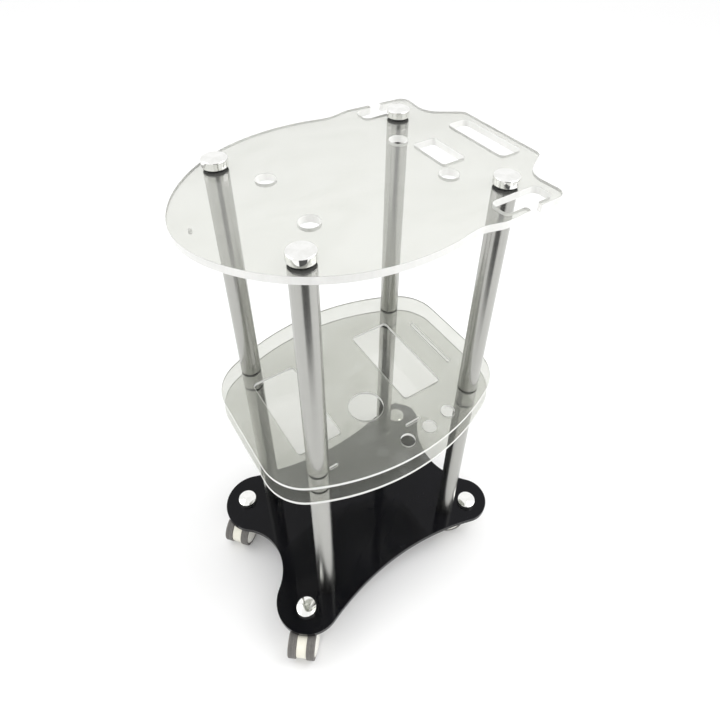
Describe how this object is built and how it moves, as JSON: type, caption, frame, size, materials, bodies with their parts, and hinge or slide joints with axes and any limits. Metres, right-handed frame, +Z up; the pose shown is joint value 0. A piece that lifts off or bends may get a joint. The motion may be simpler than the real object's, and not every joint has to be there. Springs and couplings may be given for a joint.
{
  "type": "equipment trolley",
  "caption": "Rolling equipment trolley: clear oval top board with grab handle and hooked ears, two-layer clear shelf, tubular posts, dark lobed base, twin-wheel casters.",
  "frame": {"origin": "on the floor, under the middle of the four posts, on the plane that halves the width", "axes": "+X along the length from the rounded nose to the grab handle, +Y across the width, +Z up"},
  "size_m": [0.4793, 0.3515, 0.801],
  "materials": {
    "clear_acrylic": "clear cast sheet, polished edges",
    "black_acrylic": "gloss black sheet",
    "satin_tube": "satin drawn tube",
    "polished_cap": "polished",
    "black_gasket": "matte",
    "plug_steel": "machined",
    "fastener_steel": "zinc plated",
    "housing_plastic": "moulded, cream white",
    "hub_plastic": "moulded, white",
    "tread": "soft grey tread"
  },
  "bodies": {
    "frame": {"top_board": "clear_acrylic", "shelf_upper": "clear_acrylic", "shelf_lower": "clear_acrylic", "base_plate": "black_acrylic", "lower_tube_nose_left": "satin_tube", "lower_tube_nose_right": "satin_tube", "lower_tube_handle_left": "satin_tube", "lower_tube_handle_right": "satin_tube", "spacer_tube_nose_left": "satin_tube", "spacer_tube_nose_right": "satin_tube", "spacer_tube_handle_left": "satin_tube", "spacer_tube_handle_right": "satin_tube", "upper_tube_nose_left": "satin_tube", "upper_tube_nose_right": "satin_tube", "upper_tube_handle_left": "satin_tube", "upper_tube_handle_right": "satin_tube", "post_cap_nose_left": "polished_cap", "post_cap_nose_right": "polished_cap", "post_cap_handle_left": "polished_cap", "post_cap_handle_right": "polished_cap", "cap_rings": "black_gasket", "tube_gaskets": "black_gasket", "tube_plugs": "plug_steel", "joint_studs": "fastener_steel", "base_screws": "fastener_steel", "caster_rings": "black_gasket", "caster_cap_nose_left": "polished_cap", "caster_cap_nose_right": "polished_cap", "caster_cap_handle_left": "polished_cap", "caster_cap_handle_right": "polished_cap", "caster_stem_nose_left": "fastener_steel", "caster_stem_nose_right": "fastener_steel", "caster_stem_handle_left": "fastener_steel", "caster_stem_handle_right": "fastener_steel"},
    "swivel_nose_left": {"caster_housing_nose_left": "housing_plastic", "caster_axle_nose_left": "fastener_steel"},
    "wheel_a_nose_left": {"hub_a_nose_left": "hub_plastic", "tyre_a_nose_left": "tread"},
    "wheel_b_nose_left": {"hub_b_nose_left": "hub_plastic", "tyre_b_nose_left": "tread"},
    "swivel_nose_right": {"caster_housing_nose_right": "housing_plastic", "caster_axle_nose_right": "fastener_steel"},
    "wheel_a_nose_right": {"hub_a_nose_right": "hub_plastic", "tyre_a_nose_right": "tread"},
    "wheel_b_nose_right": {"hub_b_nose_right": "hub_plastic", "tyre_b_nose_right": "tread"},
    "swivel_handle_left": {"caster_housing_handle_left": "housing_plastic", "caster_axle_handle_left": "fastener_steel"},
    "wheel_a_handle_left": {"hub_a_handle_left": "hub_plastic", "tyre_a_handle_left": "tread"},
    "wheel_b_handle_left": {"hub_b_handle_left": "hub_plastic", "tyre_b_handle_left": "tread"},
    "swivel_handle_right": {"caster_housing_handle_right": "housing_plastic", "caster_axle_handle_right": "fastener_steel"},
    "wheel_a_handle_right": {"hub_a_handle_right": "hub_plastic", "tyre_a_handle_right": "tread"},
    "wheel_b_handle_right": {"hub_b_handle_right": "hub_plastic", "tyre_b_handle_right": "tread"}
  },
  "joints": [
    {"name": "swivel_nose_left", "type": "hinge", "parent": "frame", "child": "swivel_nose_left", "pos_m": [-0.179, -0.118, 0.055], "axis": [0, 0, 1], "continuous": true},
    {"name": "wheel_a_nose_left", "type": "hinge", "parent": "swivel_nose_left", "child": "wheel_a_nose_left", "pos_m": [-0.2015, -0.14481, 0.0275], "axis": [0.766, -0.6428, 0], "continuous": true},
    {"name": "wheel_b_nose_left", "type": "hinge", "parent": "swivel_nose_left", "child": "wheel_b_nose_left", "pos_m": [-0.2015, -0.14481, 0.0275], "axis": [0.766, -0.6428, 0], "continuous": true},
    {"name": "swivel_nose_right", "type": "hinge", "parent": "frame", "child": "swivel_nose_right", "pos_m": [-0.179, 0.118, 0.055], "axis": [0, 0, 1], "continuous": true},
    {"name": "wheel_a_nose_right", "type": "hinge", "parent": "swivel_nose_right", "child": "wheel_a_nose_right", "pos_m": [-0.20581, 0.0955, 0.0275], "axis": [0.6428, -0.766, 0], "continuous": true},
    {"name": "wheel_b_nose_right", "type": "hinge", "parent": "swivel_nose_right", "child": "wheel_b_nose_right", "pos_m": [-0.20581, 0.0955, 0.0275], "axis": [0.6428, -0.766, 0], "continuous": true},
    {"name": "swivel_handle_left", "type": "hinge", "parent": "frame", "child": "swivel_handle_left", "pos_m": [0.175, -0.118, 0.055], "axis": [0, 0, 1], "continuous": true},
    {"name": "wheel_a_handle_left", "type": "hinge", "parent": "swivel_handle_left", "child": "wheel_a_handle_left", "pos_m": [0.14469, -0.1005, 0.0275], "axis": [-0.5, -0.866, 0], "continuous": true},
    {"name": "wheel_b_handle_left", "type": "hinge", "parent": "swivel_handle_left", "child": "wheel_b_handle_left", "pos_m": [0.14469, -0.1005, 0.0275], "axis": [-0.5, -0.866, 0], "continuous": true},
    {"name": "swivel_handle_right", "type": "hinge", "parent": "frame", "child": "swivel_handle_right", "pos_m": [0.175, 0.118, 0.055], "axis": [0, 0, 1], "continuous": true},
    {"name": "wheel_a_handle_right", "type": "hinge", "parent": "swivel_handle_right", "child": "wheel_a_handle_right", "pos_m": [0.20367, 0.13808, 0.0275], "axis": [-0.5736, 0.8192, 0], "continuous": true},
    {"name": "wheel_b_handle_right", "type": "hinge", "parent": "swivel_handle_right", "child": "wheel_b_handle_right", "pos_m": [0.20367, 0.13808, 0.0275], "axis": [-0.5736, 0.8192, 0], "continuous": true}
  ]
}
